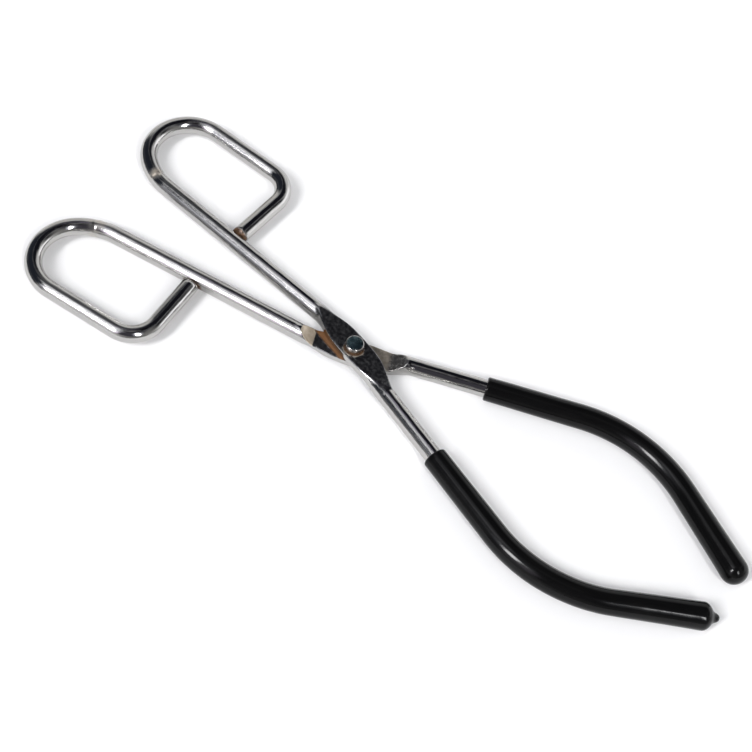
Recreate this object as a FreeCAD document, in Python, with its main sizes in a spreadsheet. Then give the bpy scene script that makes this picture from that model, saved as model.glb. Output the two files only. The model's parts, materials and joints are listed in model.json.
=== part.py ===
"""Riveted wire tongs: two bent-rod arms, the rivet that joins them and two vinyl jaw coatings.

Row frame: origin under the rivet on the surface the tongs lie on, +X along the tongs' axis
towards the jaws, +Y towards the upper arm's handle, +Z up along the rivet.
Arm frame: origin on the rivet's axis at mid-lap, +X along the straight of the jaw.
Both arms are bent to one pattern, and the lower one is the same piece turned over about +X.
"""
import FreeCAD, Part
import math
import os
import re

import Sketcher

V = FreeCAD.Vector
Z_AXIS = V(0, 0, 1)
START, END, CENTRE = 1, 2, 3
ORIGIN = (-1, 1)
ACROSS, UPRIGHT = -1, -2

# Driving dimensions: millimetres and degrees.
DIMENSIONS = {
    # the rod, and how far each jaw stands off the tongs' axis in the open rest position
    "rod_diameter": 6.0,
    "half_spread": 19.9,
    # the jaw: straight, bowed outwards, then straight again to the end of the rod
    "jaw_offset": 0.6,
    "jaw_straight": 77.8,
    "bow_radius": 50.4,
    "bow_angle": 48.7,
    "tip_straight": 28.0,
    # the handle: a slight crank behind the lap, then the shank
    "crank_start": 15.2,
    "crank_radius": 12.0,
    "crank_angle": 13.3,
    "shank_length": 72.5,
    # the finger loop, bent from the same rod and closed by a crossbar welded to the shank
    "entry_radius": 22.2,
    "entry_angle": 35.9,
    "round_radius": 14.4,
    "round_angle": 140.3,
    "corner_radius": 9.5,
    "corner_angle": 90.6,
    "weld_distance": 40.7,
    # the half-lap: each rod is pressed to half its depth and spread sideways round the rivet
    "lap_half_length": 18.5,
    "lap_half_width": 4.55,
    "lap_corner_x": 11.5,
    "lap_corner_y": 4.0,
    "lap_corner_round": 6.0,
    "lap_tilt": 4.0,
    "lap_depth": 2.0,
    "lap_face": 2.75,
    "lap_face_half": 15.5,
    "lap_face_runout": 7.0,
    "lap_gap": 0.1,
    "lap_floor_half": 13.5,
    "lap_ramp_angle": 33.5,
    "lap_cut_width": 24.0,
    # the rivet, tight in the upper arm and free in the lower one
    "rivet_diameter": 4.0,
    "rivet_clearance": 0.05,
    "head_diameter": 6.3,
    "head_round": 0.7,
    "upper_head": 2.3,
    "lower_head": 1.9,
    "head_gap": 0.05,
    # the dipped coatings, thicker towards the tips that they drained to
    "upper_coating_start": 45.8,
    "lower_coating_start": 45.0,
    "coating_start_diameter": 8.1,
    "coating_bow_diameter": 8.4,
    "coating_tip_diameter": 9.1,
    "coating_lip_round": 0.6,
    "upper_coating_end": 3.1,
    "upper_end_round": 2.4,
    "lower_coating_end": 5.6,
    "lower_end_round": 4.4,
    "nub_diameter": 2.8,
    "nub_length": 2.5,
    "nub_round": 1.2,
    "nub_foot_round": 0.9,
}

SHEET = "dimensions"
DRAW_DEPTH = 1.0
NEAR = 0.001


def make_sheet(doc):
    """The driving dimensions, one row each: the name in column A and its value in column B."""
    sheet = doc.addObject("Spreadsheet::Sheet", SHEET)
    for row, (name, value) in enumerate(DIMENSIONS.items(), start=1):
        sheet.set(f"A{row}", name)
        sheet.set(f"B{row}", str(value))
        sheet.setAlias(f"B{row}", name)
    doc.recompute()
    return sheet


def formula(words):
    """A formula in the dimensions' names, with each name looked up in the sheet."""
    return re.sub(
        r"[a-z_]+",
        lambda found: f"{SHEET}.{found[0]}" if found[0] in DIMENSIONS else found[0],
        words,
    )


def new_sketch(body, name, role, offset=None):
    """A sketch on one of the body's own origin planes."""
    plane = next(item for item in body.Origin.OriginFeatures if item.Role == role)
    sketch = body.newObject("Sketcher::SketchObject", name)
    sketch.AttachmentSupport = [(plane, "")]
    sketch.MapMode = "FlatFace"
    if offset is not None:
        sketch.AttachmentOffset = offset
    return sketch


def rule(sketch, kind, *where):
    """Add one geometric rule to a sketch."""
    return sketch.addConstraint(Sketcher.Constraint(kind, *where))


def drive(sketch, kind, *where, value, by):
    """Add one dimension to a sketch and bind it to a formula in the dimensions' names."""
    index = rule(sketch, kind, *where, value)
    name = f"size_{index}"
    sketch.renameConstraint(index, name)
    sketch.setExpression(f"Constraints.{name}", formula(by))


class Chain:
    """Lines and arcs in a sketch, each tangent to the one before it.

    last is the (geometry, point) pair that the first piece joins, when the chain carries on
    from something already drawn.
    """

    def __init__(self, sketch, start, heading, last=None):
        self.sketch = sketch
        self.point = V(start[0], start[1], 0)
        self.heading = math.radians(heading)
        self.last = last

    def _join(self, index, first, last):
        if self.last is not None:
            rule(self.sketch, "Tangent", *self.last, index, first)
        self.last = (index, last)

    def ahead(self, length):
        """The point that lies straight ahead at this distance."""
        return self.point + V(math.cos(self.heading), math.sin(self.heading), 0) * length

    def line(self, length, by=None):
        end = self.ahead(length)
        index = self.sketch.addGeometry(Part.LineSegment(self.point, end), False)
        self.point = end
        self._join(index, START, END)
        if by:
            drive(self.sketch, "Distance", index, value=length, by=by)
        return index

    def arc(self, radius, turn, by_radius, by_angle):
        """A positive turn goes to the left."""
        side = math.copysign(1.0, turn)
        left = V(-math.sin(self.heading), math.cos(self.heading), 0)
        centre = self.point + left * radius * side
        angle_in = self.heading - side * math.pi / 2
        angle_out = angle_in + math.radians(turn)
        circle = Part.Circle(centre, Z_AXIS, radius)
        low, high = sorted((angle_in, angle_out))
        index = self.sketch.addGeometry(Part.ArcOfCircle(circle, low, high), False)
        self.point = centre + V(math.cos(angle_out), math.sin(angle_out), 0) * radius
        self.heading += math.radians(turn)
        first, last = (START, END) if turn > 0 else (END, START)
        self._join(index, first, last)
        drive(self.sketch, "Radius", index, value=radius, by=by_radius)
        drive(self.sketch, "Angle", index, value=abs(math.radians(turn)), by=f"{by_angle} * 1 deg")
        return index

    def closing_lengths(self, target, radius, right_turn):
        """How long a line, an arc to the right and a second line must be to end at a target."""
        turn = math.radians(right_turn)
        along = V(math.cos(self.heading), math.sin(self.heading), 0)
        right = V(along.y, -along.x, 0)
        after = along * math.cos(turn) + right * math.sin(turn)
        rest = target - self.point - along * radius * math.sin(turn) - right * radius * (1 - math.cos(turn))
        spread = along.x * after.y - along.y * after.x
        first = (rest.x * after.y - rest.y * after.x) / spread
        second = (along.x * rest.y - along.y * rest.x) / spread
        return first, second


def circle_across(body, name, path, edge, along, diameter, by):
    """A circle square to one edge of a path, at its start (along 0) or its end (along 1)."""
    sketch = body.newObject("Sketcher::SketchObject", name)
    sketch.AttachmentSupport = [(path, edge)]
    sketch.MapMode = "NormalToEdge"
    sketch.MapPathParameter = along
    index = sketch.addGeometry(Part.Circle(V(0, 0, 0), Z_AXIS, diameter / 2), False)
    rule(sketch, "Coincident", index, CENTRE, *ORIGIN)
    drive(sketch, "Diameter", index, value=diameter, by=by)
    return sketch


def sweep(body, name, profile, path, edges, kind="Additive"):
    """A pipe of one section along some edges of a path."""
    pipe = body.newObject(f"PartDesign::{kind}Pipe", name)
    pipe.Profile = profile
    pipe.Spine = (path, [f"Edge{number}" for number in edges])
    return pipe


def taper(body, name, first, last):
    """A straight taper from one section to another."""
    loft = body.newObject("PartDesign::AdditiveLoft", name)
    loft.Profile = first
    loft.Sections = [last]
    loft.Ruled = True
    return loft


def close_outline(sketch, first, count):
    """Join each of these curves' ends to the next one's start."""
    for k in range(count):
        rule(sketch, "Coincident", first + k, END, first + (k + 1) % count, START)


def draw_bow(sketch, bow_start, last):
    """The bowed part of a jaw and the straight to the end of the rod."""
    d = DIMENSIONS
    jaw = Chain(sketch, bow_start, 0, last)
    jaw.arc(d["bow_radius"], d["bow_angle"], "bow_radius", "bow_angle")
    jaw.line(d["tip_straight"], "tip_straight")
    return jaw


def draw_arm(sketch):
    """The whole arm's centreline, from the rod's end in the jaw to the weld on the shank.

    Its edges come out in this order: tip, bow, jaw with lap, crank, shank, entry, round,
    top side, corner, crossbar.
    """
    d = DIMENSIONS
    bow_start = (d["jaw_straight"], -d["jaw_offset"])
    handle = Chain(sketch, bow_start, 180)
    jaw = handle.line(d["jaw_straight"] + d["crank_start"])
    rule(sketch, "Horizontal", jaw)
    drive(sketch, "DistanceX", *ORIGIN, jaw, START, value=d["jaw_straight"], by="jaw_straight")
    drive(sketch, "DistanceX", jaw, END, *ORIGIN, value=d["crank_start"], by="crank_start")
    drive(sketch, "DistanceY", jaw, START, *ORIGIN, value=d["jaw_offset"], by="jaw_offset")
    handle.arc(d["crank_radius"], d["crank_angle"], "crank_radius", "crank_angle")
    weld = handle.ahead(d["weld_distance"])
    shank = handle.line(d["shank_length"], "shank_length")
    handle.arc(d["entry_radius"], -d["entry_angle"], "entry_radius", "entry_angle")
    handle.arc(d["round_radius"], -d["round_angle"], "round_radius", "round_angle")

    # the top side and the crossbar are as long as it takes to bring the crossbar to the weld
    top_side, bar = handle.closing_lengths(weld, d["corner_radius"], d["corner_angle"])
    handle.line(top_side)
    handle.arc(d["corner_radius"], -d["corner_angle"], "corner_radius", "corner_angle")
    crossbar = handle.line(bar)
    rule(sketch, "PointOnObject", crossbar, END, shank)
    drive(sketch, "Distance", crossbar, END, shank, START, value=d["weld_distance"], by="weld_distance")

    draw_bow(sketch, bow_start, (jaw, START))


def spread_lap(body):
    """The widened metal round the rivet, as a plate that starts inside the rod."""
    d = DIMENSIONS
    tilt = FreeCAD.Rotation(Z_AXIS, d["lap_tilt"])
    base = FreeCAD.Placement(V(0, 0, -d["lap_depth"]), tilt)
    outline = new_sketch(body, "lap_outline", "XY_Plane", base)
    tip, side = d["lap_half_length"], d["lap_half_width"]
    cx, cy = d["lap_corner_x"], d["lap_corner_y"]
    corners = [V(tip, 0, 0), V(cx, cy, 0), V(-cx, cy, 0), V(-tip, 0, 0), V(-cx, -cy, 0), V(cx, -cy, 0)]
    upper_side, lower_side = 1, 4
    for k, here in enumerate(corners):
        there = corners[(k + 1) % 6]
        if k in (upper_side, lower_side):
            middle = V(0, math.copysign(side, here.y), 0)
            outline.addGeometry(Part.Arc(here, middle, there), False)
        else:
            outline.addGeometry(Part.LineSegment(here, there), False)
    close_outline(outline, 0, 6)
    rule(outline, "PointOnObject", 0, START, ACROSS)
    rule(outline, "Symmetric", 0, START, 2, END, *ORIGIN)
    rule(outline, "Symmetric", 0, END, 3, END, *ORIGIN)
    rule(outline, "Symmetric", 0, END, 1, END, UPRIGHT)
    rule(outline, "Symmetric", 0, END, 4, END, ACROSS)
    drive(outline, "DistanceX", *ORIGIN, 0, START, value=tip, by="lap_half_length")
    drive(outline, "DistanceX", *ORIGIN, 0, END, value=cx, by="lap_corner_x")
    drive(outline, "DistanceY", *ORIGIN, 0, END, value=cy, by="lap_corner_y")
    rise = "(lap_half_width - lap_corner_y)"
    radius = f"(lap_corner_x * lap_corner_x + {rise} * {rise}) / (2 * {rise})"
    for arc in (upper_side, lower_side):
        drive(outline, "Radius", arc, value=outline.Geometry[arc].Radius, by=radius)

    plate = body.newObject("PartDesign::Pad", "lap_plate")
    plate.Profile = outline
    plate.setExpression("Length", formula("lap_face + lap_depth"))
    body.Document.recompute()

    # the upright edges at the four corners, which are nearer the middle than the two at the tips
    past_corners = (cx + tip) / 2
    upright = [
        f"Edge{number}"
        for number, edge in enumerate(plate.Shape.Edges, start=1)
        if abs(edge.tangentAt(edge.FirstParameter).z) > 1 - NEAR and edge.CenterOfMass.Length < past_corners
    ]
    rounding = body.newObject("PartDesign::Fillet", "lap_corners")
    rounding.Base = (plate, upright)
    rounding.setExpression("Radius", formula("lap_corner_round"))
    return rounding


def cut_across(body, name, level, half_length, slope, outwards, by):
    """Press one side of the lap flat at a level, with a ramp up to the rod at each end.

    outwards is +1 for the outer face and -1 for the face that meets the other arm.
    """
    d = DIMENSIONS
    deep = outwards * (d["rod_diameter"] / 2 + DRAW_DEPTH)
    run = abs(deep - level) / math.tan(math.radians(slope))
    profile = new_sketch(body, f"{name}_profile", "XZ_Plane")
    far = half_length + run
    corners = [(-half_length, level), (half_length, level), (far, deep), (-far, deep)]
    for k, here in enumerate(corners):
        there = corners[(k + 1) % 4]
        profile.addGeometry(Part.LineSegment(V(*here, 0), V(*there, 0)), False)
    close_outline(profile, 0, 4)
    rule(profile, "Symmetric", 0, START, 0, END, UPRIGHT)
    rule(profile, "Symmetric", 2, START, 2, END, UPRIGHT)
    drive(profile, "DistanceX", *ORIGIN, 0, END, value=half_length, by=by["half_length"])
    drive(profile, "DistanceY", *ORIGIN, 0, END, value=level, by=by["level"])
    past_rod = f"{outwards} * (rod_diameter / 2 + {DRAW_DEPTH})"
    drive(profile, "DistanceY", *ORIGIN, 1, END, value=deep, by=past_rod)
    drive(profile, "DistanceX", 0, END, 1, END, value=run, by=f"({by['depth']}) / tan({by['slope']} * 1 deg)")

    pocket = body.newObject("PartDesign::Pocket", name)
    pocket.Profile = profile
    pocket.SideType = "Symmetric"
    pocket.setExpression("Length", formula("lap_cut_width"))
    return pocket


def bore_rivet_hole(body, clearance_by):
    """The rivet's hole through the lap."""
    d = DIMENSIONS
    sketch = new_sketch(body, "rivet_hole_outline", "XY_Plane")
    index = sketch.addGeometry(Part.Circle(V(0, 0, 0), Z_AXIS, d["rivet_diameter"] / 2), False)
    rule(sketch, "Coincident", index, CENTRE, *ORIGIN)
    drive(sketch, "Radius", index, value=d["rivet_diameter"] / 2, by=f"rivet_diameter / 2 + {clearance_by}")
    hole = body.newObject("PartDesign::Pocket", "rivet_hole")
    hole.Profile = sketch
    hole.SideType = "Symmetric"
    hole.setExpression("Length", formula("rod_diameter * 2"))
    return hole


def make_arm(doc, name, clearance_by):
    """One arm: rod, finger loop and half-lap in a single piece."""
    d = DIMENSIONS
    arm = doc.addObject("PartDesign::Body", name)
    spread_lap(arm)
    centreline = new_sketch(arm, "centreline", "XY_Plane")
    draw_arm(centreline)
    doc.recompute()

    tip, corner, crossbar = 1, 9, 10
    rod = (d["rod_diameter"], "rod_diameter")
    rod_end = circle_across(arm, "rod_end", centreline, f"Edge{tip}", 1, *rod)
    sweep(arm, "rod", rod_end, centreline, range(tip, corner + 1))
    bar_end = circle_across(arm, "bar_end", centreline, f"Edge{crossbar}", 0, *rod)
    sweep(arm, "crossbar", bar_end, centreline, [crossbar])

    before = checked_volume(doc, arm)
    cut_across(
        arm, "lap_floor", d["lap_gap"] / 2, d["lap_floor_half"], d["lap_ramp_angle"], -1,
        {
            "half_length": "lap_floor_half",
            "level": "lap_gap / 2",
            "depth": f"lap_gap / 2 + rod_diameter / 2 + {DRAW_DEPTH}",
            "slope": "lap_ramp_angle",
        },
    )
    after_floor = checked_volume(doc, arm)
    cut_across(
        arm, "lap_face", d["lap_face"], d["lap_face_half"], d["lap_face_runout"], 1,
        {
            "half_length": "lap_face_half",
            "level": "lap_face",
            "depth": f"rod_diameter / 2 + {DRAW_DEPTH} - lap_face",
            "slope": "lap_face_runout",
        },
    )
    after_face = checked_volume(doc, arm)
    bore_rivet_hole(arm, clearance_by)
    after_hole = checked_volume(doc, arm)
    if not before > after_floor > after_face > after_hole:
        raise RuntimeError(f"{name}: a cut removed nothing")
    return arm


def checked_volume(doc, body):
    doc.recompute()
    return body.Shape.Volume


def round_edge(shape, centre, diameter):
    """The name of the edge that is a circle of this diameter round this centre."""
    for number, edge in enumerate(shape.Edges, start=1):
        curve = edge.Curve
        if isinstance(curve, Part.Circle) and curve.Center.distanceToPoint(centre) < NEAR:
            if abs(curve.Radius - diameter / 2) < NEAR:
                return f"Edge{number}"
    raise RuntimeError(f"no round edge of diameter {diameter} at {centre}")


def soften(body, name, base, centre, diameter, radius_by):
    """Round over one circular edge."""
    body.Document.recompute()
    fillet = body.newObject("PartDesign::Fillet", name)
    fillet.Base = (base, [round_edge(base.Shape, centre, diameter)])
    fillet.setExpression("Radius", formula(radius_by))
    return fillet


def make_coating(doc, name, end, nub):
    """A dipped vinyl coating: a sleeve on the jaw's rod, closed over the rod's end.

    end is "upper" or "lower"; nub adds the drop that hardened on the tip.
    """
    d = DIMENSIONS
    coating = doc.addObject("PartDesign::Body", name)
    start = d[f"{end}_coating_start"]
    bow_start = (d["jaw_straight"], -d["jaw_offset"])
    path = new_sketch(coating, "centreline", "XY_Plane")
    lead = path.addGeometry(Part.LineSegment(V(start, bow_start[1], 0), V(*bow_start, 0)), False)
    rule(path, "Horizontal", lead)
    drive(path, "DistanceX", *ORIGIN, lead, START, value=start, by=f"{end}_coating_start")
    drive(path, "DistanceX", *ORIGIN, lead, END, value=bow_start[0], by="jaw_straight")
    drive(path, "DistanceY", lead, END, *ORIGIN, value=d["jaw_offset"], by="jaw_offset")
    jaw = draw_bow(path, bow_start, (lead, END))
    doc.recompute()

    # an even taper along each straight, and one diameter round the bow
    start_ring, bow_ring, bow_end_ring, tip_ring = [
        circle_across(coating, f"{where}_ring", path, edge, along, d[by], by)
        for where, edge, along, by in (
            ("start", "Edge1", 0, "coating_start_diameter"),
            ("bow", "Edge2", 0, "coating_bow_diameter"),
            ("bow_end", "Edge2", 1, "coating_bow_diameter"),
            ("tip", "Edge3", 1, "coating_tip_diameter"),
        )
    ]
    taper(coating, "lead_sleeve", start_ring, bow_ring)
    sweep(coating, "bow_sleeve", bow_ring, path, [2])
    taper(coating, "tip_sleeve", bow_end_ring, tip_ring)

    # the closed end goes on past the rod
    cap = coating.newObject("PartDesign::Pad", "closed_end")
    cap.Profile = circle_across(
        coating, "closed_end_outline", path, "Edge3", 1, d["coating_tip_diameter"], "coating_tip_diameter"
    )
    cap.Reversed = True
    cap.setExpression("Length", formula(f"{end}_coating_end"))
    cap_end = jaw.ahead(d[f"{end}_coating_end"])
    solid = soften(coating, "closed_end_round", cap, cap_end, d["coating_tip_diameter"], f"{end}_end_round")
    if nub:
        drop = coating.newObject("PartDesign::Pad", "nub")
        drop.Profile = circle_across(
            coating, "nub_outline", path, "Edge3", 1, d["nub_diameter"], "nub_diameter"
        )
        drop.Reversed = True
        drop.setExpression("Length", formula(f"{end}_coating_end + nub_length"))
        drop_end = jaw.ahead(d[f"{end}_coating_end"] + d["nub_length"])
        solid = soften(coating, "nub_round", drop, drop_end, d["nub_diameter"], "nub_round")
        solid = soften(coating, "nub_foot", solid, cap_end, d["nub_diameter"], "nub_foot_round")
    lip = V(start, bow_start[1], 0)
    soften(coating, "lip", solid, lip, d["coating_start_diameter"], "coating_lip_round")

    before = checked_volume(doc, coating)
    bore = circle_across(coating, "bore_section", path, "Edge1", 0, d["rod_diameter"], "rod_diameter")
    sweep(coating, "bore", bore, path, (1, 2, 3), kind="Subtractive")
    if not before > checked_volume(doc, coating):
        raise RuntimeError(f"{name}: the bore removed nothing")
    return coating


def make_rivet(doc, name):
    """The pivot: a shank with a head on each side, turned about the pivot's axis."""
    d = DIMENSIONS
    rivet = doc.addObject("PartDesign::Body", name)
    profile = new_sketch(rivet, "half_section", "XZ_Plane")
    shank, head = d["rivet_diameter"] / 2, d["head_diameter"] / 2
    top, seat = d["lap_face"] + d["upper_head"], d["lap_face"]
    under, foot = d["lap_face"] + d["head_gap"], d["lap_face"] + d["head_gap"] + d["lower_head"]
    corners = [
        (0, -foot), (head, -foot), (head, -under), (shank, -under),
        (shank, seat), (head, seat), (head, top), (0, top),
    ]
    for k, here in enumerate(corners):
        there = corners[(k + 1) % len(corners)]
        profile.addGeometry(Part.LineSegment(V(*here, 0), V(*there, 0)), False)
        rule(profile, "Vertical" if k % 2 else "Horizontal", k)
    close_outline(profile, 0, len(corners))
    rule(profile, "PointOnObject", 0, START, UPRIGHT)
    drive(profile, "DistanceX", *ORIGIN, 0, END, value=head, by="head_diameter / 2")
    drive(profile, "DistanceX", *ORIGIN, 4, END, value=head, by="head_diameter / 2")
    drive(profile, "DistanceX", *ORIGIN, 3, START, value=shank, by="rivet_diameter / 2")
    drive(profile, "DistanceY", 0, START, *ORIGIN, value=foot, by="lap_face + head_gap + lower_head")
    drive(profile, "DistanceY", 2, START, *ORIGIN, value=under, by="lap_face + head_gap")
    drive(profile, "DistanceY", *ORIGIN, 4, START, value=seat, by="lap_face")
    drive(profile, "DistanceY", *ORIGIN, 6, START, value=top, by="lap_face + upper_head")
    solid = rivet.newObject("PartDesign::Revolution", "turned")
    solid.Profile = profile
    solid.ReferenceAxis = (profile, ["V_Axis"])
    solid = soften(rivet, "upper_rim", solid, V(0, 0, top), d["head_diameter"], "head_round")
    soften(rivet, "lower_rim", solid, V(0, 0, -foot), d["head_diameter"], "head_round")
    return rivet


def place(part, turn):
    """Lift a sub-part to the height where the two arms meet and turn it to its side."""
    part.Placement = FreeCAD.Placement(V(0, 0, 0), turn)
    part.setExpression("Placement.Base.z", formula("lap_face + head_gap + lower_head"))


def export(doc, parts):
    """Check every feature and every sub-part, then write one STEP file for each sub-part."""
    doc.recompute()
    for item in doc.Objects:
        if "Invalid" in item.State or "Error" in item.State:
            raise RuntimeError(f"{item.Name}: {item.State}")
    for part in parts:
        if part.Shape.isNull() or not part.Shape.isValid():
            raise RuntimeError(f"{part.Label}: the shape is not valid")
        if len(part.Shape.Solids) != 1:
            raise RuntimeError(f"{part.Label}: {len(part.Shape.Solids)} solids instead of one")
        part.Shape.exportStep(f"parts/{part.Label}.step")


def main():
    os.makedirs("parts", exist_ok=True)
    doc = FreeCAD.newDocument("crucible_tongs")
    make_sheet(doc)

    # the lower arm is the upper one turned over, so both jaws bow towards each other
    upper = FreeCAD.Rotation(Z_AXIS, -DIMENSIONS["half_spread"])
    lower = FreeCAD.Rotation(V(1, 0, 0), 180) * upper
    parts = [
        (make_arm(doc, "upper_arm", "0"), upper),
        (make_arm(doc, "lower_arm", "rivet_clearance"), lower),
        (make_rivet(doc, "pivot_rivet"), FreeCAD.Rotation()),
        (make_coating(doc, "upper_coating", "upper", nub=True), upper),
        (make_coating(doc, "lower_coating", "lower", nub=False), lower),
    ]
    for part, turn in parts:
        place(part, turn)
    export(doc, [part for part, _ in parts])


main()
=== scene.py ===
import json
import math

import bpy
import numpy as np
from mathutils import Matrix, Vector


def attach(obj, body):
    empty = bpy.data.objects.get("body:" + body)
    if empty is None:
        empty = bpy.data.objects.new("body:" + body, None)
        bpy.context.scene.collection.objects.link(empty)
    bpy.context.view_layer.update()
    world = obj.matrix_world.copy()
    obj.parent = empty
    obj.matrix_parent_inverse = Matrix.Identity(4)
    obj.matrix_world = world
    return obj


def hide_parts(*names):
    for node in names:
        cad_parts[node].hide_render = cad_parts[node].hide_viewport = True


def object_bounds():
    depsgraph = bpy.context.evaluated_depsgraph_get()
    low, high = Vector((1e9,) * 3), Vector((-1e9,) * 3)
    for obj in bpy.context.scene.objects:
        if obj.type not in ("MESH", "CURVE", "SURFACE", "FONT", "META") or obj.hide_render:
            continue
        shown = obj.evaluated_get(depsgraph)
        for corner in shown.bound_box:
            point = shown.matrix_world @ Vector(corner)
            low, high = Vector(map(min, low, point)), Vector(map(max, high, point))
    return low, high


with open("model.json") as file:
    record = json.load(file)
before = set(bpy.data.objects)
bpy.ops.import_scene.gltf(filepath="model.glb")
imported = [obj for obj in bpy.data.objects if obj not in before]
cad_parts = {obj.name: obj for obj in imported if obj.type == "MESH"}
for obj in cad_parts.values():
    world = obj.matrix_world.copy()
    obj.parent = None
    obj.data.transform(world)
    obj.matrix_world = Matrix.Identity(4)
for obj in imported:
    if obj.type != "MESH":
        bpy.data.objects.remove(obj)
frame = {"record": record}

# Wire tongs: two bent-rod arms, the rivet that joins them and two dipped vinyl coatings.
# Sizes are in millimetres and turn into metres when a mesh is made. Each arm is shaped in its
# own frame: the origin is on the rivet's axis at mid-lap, +X runs along the jaw's straight and
# +Z points away from the other arm. The two arms have one shape, and the lower is turned over.

cad_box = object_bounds()
MM = 0.001
PIVOT = Vector(frame["record"]["behaviour"]["joints"][0]["pos_m"])
HALF_SPREAD = 19.9  # degrees from the tongs' axis to each jaw's straight, at rest

ROD = 3.0  # the rod's radius
JAW_OFFSET = -0.6
# the centreline on each side of the rivet, as runs of (length, turn in degrees)
JAW = ((77.8, 0.0), (42.84, 48.7), (28.0, 0.0))
HANDLE = (
    (15.2, 0.0), (2.786, 13.3), (72.5, 0.0), (13.91, -35.9), (35.26, -140.3),
    (25.98, 0.0), (15.02, -90.6), (22.86, 0.0),
)


# ---------------------------------------------------------------- centrelines

class Route:
    """A centreline in a plane, as (length, turn in degrees) runs laid end to end."""

    def __init__(self, start, heading, runs):
        self.parts = []
        self.length = 0.0
        x, y, h = start[0], start[1], math.radians(heading)
        for length, turn in runs:
            bend = math.radians(turn) / length
            self.parts.append((self.length, x, y, h, bend))
            x, y, h = self._step(x, y, h, bend, length)
            self.length += length

    @staticmethod
    def _step(x, y, h, bend, s):
        if bend == 0.0:
            return x + s * np.cos(h), y + s * np.sin(h), h + 0.0 * s
        turned = h + bend * s
        x = x + (np.sin(turned) - np.sin(h)) / bend
        y = y - (np.cos(turned) - np.cos(h)) / bend
        return x, y, turned

    def at(self, s):
        """Position and heading at each distance in s; past the ends it goes straight on."""
        s = np.asarray(s, float)
        x, y, h = (np.zeros_like(s) for _ in range(3))
        for k, (start, *first) in enumerate(self.parts):
            last = k == len(self.parts) - 1
            here = (s >= start - 1e-9) if k else (s > -math.inf)
            if not last:
                here &= s < self.parts[k + 1][0]
            x[here], y[here], h[here] = self._step(*first, s[here] - start)
        return x, y, h

    def stations(self, low, high, straight_step, bend_step):
        """Distances from low to high, closer together where the route bends."""
        marks = [low]
        for k, (start, *_, bend) in enumerate(self.parts):
            end = self.parts[k + 1][0] if k + 1 < len(self.parts) else self.length
            a, b = max(start, low), min(end, high)
            if b > a:
                step = bend_step if bend else straight_step
                marks += list(np.linspace(a, b, max(2, round((b - a) / step) + 1))[1:])
        return np.array(marks)


JAW_ROUTE = Route((0.0, JAW_OFFSET), 0.0, JAW)
HANDLE_ROUTE = Route((0.0, JAW_OFFSET), 180.0, HANDLE)
SHANK_PART = 2  # the shank's place among the handle's runs


def arm_at(s):
    """The arm's centreline: s is positive along the jaw and negative along the handle."""
    jaw, handle = JAW_ROUTE.at(np.maximum(s, 0)), HANDLE_ROUTE.at(np.maximum(-s, 0))
    x, y, h = (np.where(s >= 0, a, b) for a, b in zip(jaw, handle))
    return x, y, np.where(s >= 0, h, h + math.pi)


# ---------------------------------------------------------------- meshes

def smooth_max(a, b, k):
    """The larger of two distances, with the edge where they meet rounded over about k."""
    h = np.maximum(k - np.abs(a - b), 0.0) / k
    return np.maximum(a, b) + h * h * k / 4


def smooth_min(a, b, k):
    return -smooth_max(-a, -b, k)


def fade(value, low, high):
    """0 below low, 1 above high and a smooth step between."""
    t = np.clip((value - low) / (high - low), 0.0, 1.0)
    return t * t * (3 - 2 * t)


def band(value, rise, fall):
    """1 from rise to fall, two (low, high) edges, with a smooth step at each."""
    return fade(value, *rise) * (1 - fade(value, *fall))


def ripple(seed, *axes):
    """Smooth seeded unevenness between about -1 and 1, from (coordinate, wavelength) pairs."""
    rng = np.random.default_rng(seed)
    total = 0.0
    for _ in range(5):
        phase = rng.uniform(0, 2 * math.pi)
        for coordinate, wavelength in axes:
            phase = phase + 2 * math.pi * coordinate / (wavelength * rng.uniform(0.7, 1.6))
        total = total + np.sin(phase)
    return total / 5


def make_mesh(name, verts, faces, uvs, material, to_row):
    mesh = bpy.data.meshes.new(name)
    mesh.from_pydata([tuple(v) for v in verts * MM], [], faces)
    layer = mesh.uv_layers.new(name="along_and_round")
    layer.data.foreach_set("uv", np.asarray(uvs, np.float32).ravel())
    mesh.transform(to_row)
    mesh.polygons.foreach_set("use_smooth", [True] * len(mesh.polygons))
    mesh.materials.append(material)
    mesh.validate()
    obj = bpy.data.objects.new(name, mesh)
    bpy.context.scene.collection.objects.link(obj)
    return obj


def tube(rings, along):
    """Vertices, faces and loop UVs of a tube through rings of points, closed at both ends."""
    n, m, _ = rings.shape
    verts = rings.reshape(-1, 3)
    i, j = np.meshgrid(np.arange(n - 1), np.arange(m), indexing="ij")
    k = (j + 1) % m
    quads = np.stack([i * m + j, i * m + k, (i + 1) * m + k, (i + 1) * m + j], -1).reshape(-1, 4)
    u0, u1 = along[i] * MM, along[i + 1] * MM
    v0, v1 = j / m, (j + 1) / m
    uvs = np.stack([np.stack([u0, v0], -1), np.stack([u0, v1], -1), np.stack([u1, v1], -1),
                    np.stack([u1, v0], -1)], -2).reshape(-1, 2)
    faces = [tuple(q) for q in quads.tolist()]
    uvs = uvs.tolist()
    for ring, flip in ((0, True), (n - 1, False)):
        centre = len(verts)
        verts = np.vstack([verts, rings[ring].mean(0)])
        for a in range(m):
            b = (a + 1) % m
            pair = (ring * m + b, ring * m + a) if flip else (ring * m + a, ring * m + b)
            faces.append((centre, *pair))
            uvs += [[along[ring] * MM, 0.5]] * 3
    return verts, faces, uvs


def rings_on(route_at, s, v, z):
    """Rings of points: v to the left of the centreline and z above it, one row per station."""
    x, y, h = (a[:, None] for a in route_at(s))
    return np.stack([x - np.sin(h) * v, y + np.cos(h) * v, z], -1)


# ---------------------------------------------------------------- the arms

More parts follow.
